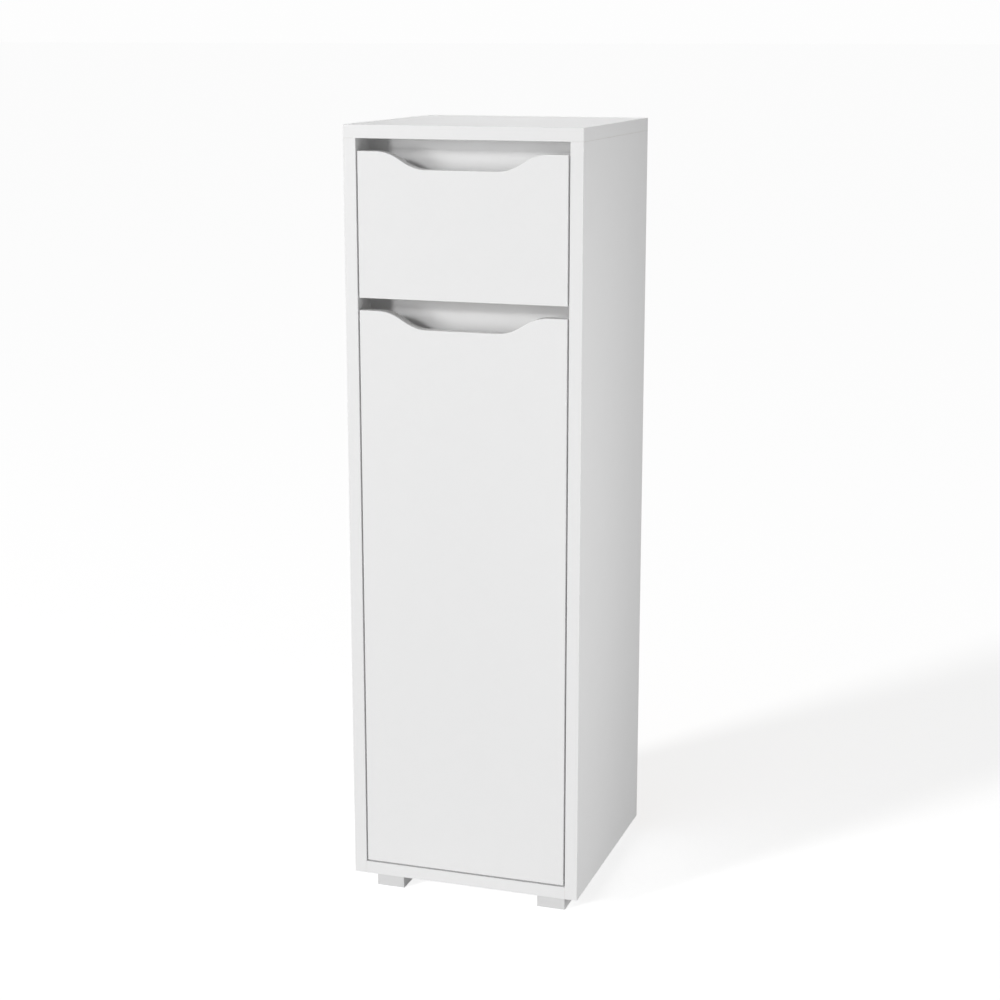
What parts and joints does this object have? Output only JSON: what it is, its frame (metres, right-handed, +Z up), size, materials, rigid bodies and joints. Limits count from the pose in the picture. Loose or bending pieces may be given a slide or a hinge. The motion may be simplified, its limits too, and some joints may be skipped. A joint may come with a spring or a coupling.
{
  "type": "mid-height bathroom cabinet",
  "caption": "Slim floor-standing cabinet with a drawer above a tall door, inset flush fronts with curved grip cut-outs, recessed grip rails and low block feet.",
  "frame": {"origin": "on the floor, in the middle of the cabinet's footprint", "axes": "+Z up, the fronts face -Y, +X to the right of someone who looks at the fronts"},
  "size_m": [0.3, 0.3, 0.982],
  "materials": {
    "white_board": "white melamine on chipboard, satin, with white edge bands",
    "white_hardboard": "white lacquered hardboard, satin on the face and brown on the cut edge",
    "foot_plastic": "light grey satin plastic",
    "coated_steel": "white powder coat",
    "nylon": "natural nylon",
    "nickel_steel": "nickel plated",
    "zinc": "die-cast zinc",
    "plated_steel": "bright zinc plated",
    "beech": "plain fluted beech"
  },
  "bodies": {
    "carcass": {"side_panel_left": "white_board", "side_panel_right": "white_board", "top_panel": "white_board", "bottom_panel": "white_board", "divider_panel": "white_board", "grip_rail_upper": "white_board", "grip_rail_lower": "white_board", "shelf_lower": "white_board", "shelf_upper": "white_board", "back_panel": "white_hardboard", "foot_front_left": "foot_plastic", "foot_front_right": "foot_plastic", "foot_rear_left": "foot_plastic", "foot_rear_right": "foot_plastic", "cabinet_runner_left": "coated_steel", "cabinet_runner_right": "coated_steel", "hinge_arm_lower": "nickel_steel", "hinge_arm_upper": "nickel_steel", "hinge_plate_lower": "nickel_steel", "hinge_plate_upper": "nickel_steel", "hinge_arm_screws": "nickel_steel", "shelf_pins": "nickel_steel", "cabinet_roller_axles": "nickel_steel", "cam_locks": "zinc", "cam_bolts": "plated_steel", "foot_screws": "plated_steel", "cabinet_runner_screws": "plated_steel", "hinge_plate_screws": "plated_steel", "dowels": "beech"},
    "drawer": {"drawer_front": "white_board", "drawer_side_left": "white_board", "drawer_side_right": "white_board", "drawer_back": "white_board", "drawer_bottom": "white_hardboard", "drawer_runner_left": "coated_steel", "drawer_runner_right": "coated_steel", "drawer_runner_screws": "plated_steel", "drawer_roller_axles": "nickel_steel", "drawer_cam_locks": "zinc", "drawer_cam_bolts": "plated_steel", "drawer_box_screws": "plated_steel"},
    "door": {"door_panel": "white_board", "hinge_cup_lower": "nickel_steel", "hinge_cup_upper": "nickel_steel", "hinge_cup_screws": "plated_steel", "hinge_pins": "nickel_steel"},
    "cabinet_roller_left": {"cabinet_roller_left": "nylon"},
    "cabinet_roller_right": {"cabinet_roller_right": "nylon"},
    "drawer_roller_left": {"drawer_roller_left": "nylon"},
    "drawer_roller_right": {"drawer_roller_right": "nylon"}
  },
  "joints": [
    {"name": "drawer_slide", "type": "slide", "parent": "carcass", "child": "drawer", "axis": [0, -1, 0], "range_m": [0, 0.19]},
    {"name": "door_swing", "type": "hinge", "parent": "carcass", "child": "door", "pos_m": [-0.11798, -0.143, 0.40125], "axis": [0, 0, -1], "range_deg": [0, 95]},
    {"name": "cabinet_roller_left_spin", "type": "hinge", "parent": "carcass", "child": "cabinet_roller_left", "pos_m": [-0.1287, -0.119, 0.793], "axis": [1, 0, 0], "continuous": true},
    {"name": "cabinet_roller_right_spin", "type": "hinge", "parent": "carcass", "child": "cabinet_roller_right", "pos_m": [0.1287, -0.119, 0.793], "axis": [1, 0, 0], "continuous": true},
    {"name": "drawer_roller_left_spin", "type": "hinge", "parent": "drawer", "child": "drawer_roller_left", "pos_m": [-0.1268, 0.103, 0.793], "axis": [1, 0, 0], "continuous": true},
    {"name": "drawer_roller_right_spin", "type": "hinge", "parent": "drawer", "child": "drawer_roller_right", "pos_m": [0.1268, 0.103, 0.793], "axis": [1, 0, 0], "continuous": true}
  ],
  "couplings": [
    {"joint": "cabinet_roller_left_spin", "follows": "drawer_slide", "rad_per_m": 111.11},
    {"joint": "cabinet_roller_right_spin", "follows": "drawer_slide", "rad_per_m": 111.11},
    {"joint": "drawer_roller_left_spin", "follows": "drawer_slide", "rad_per_m": 111.11},
    {"joint": "drawer_roller_right_spin", "follows": "drawer_slide", "rad_per_m": 111.11}
  ]
}
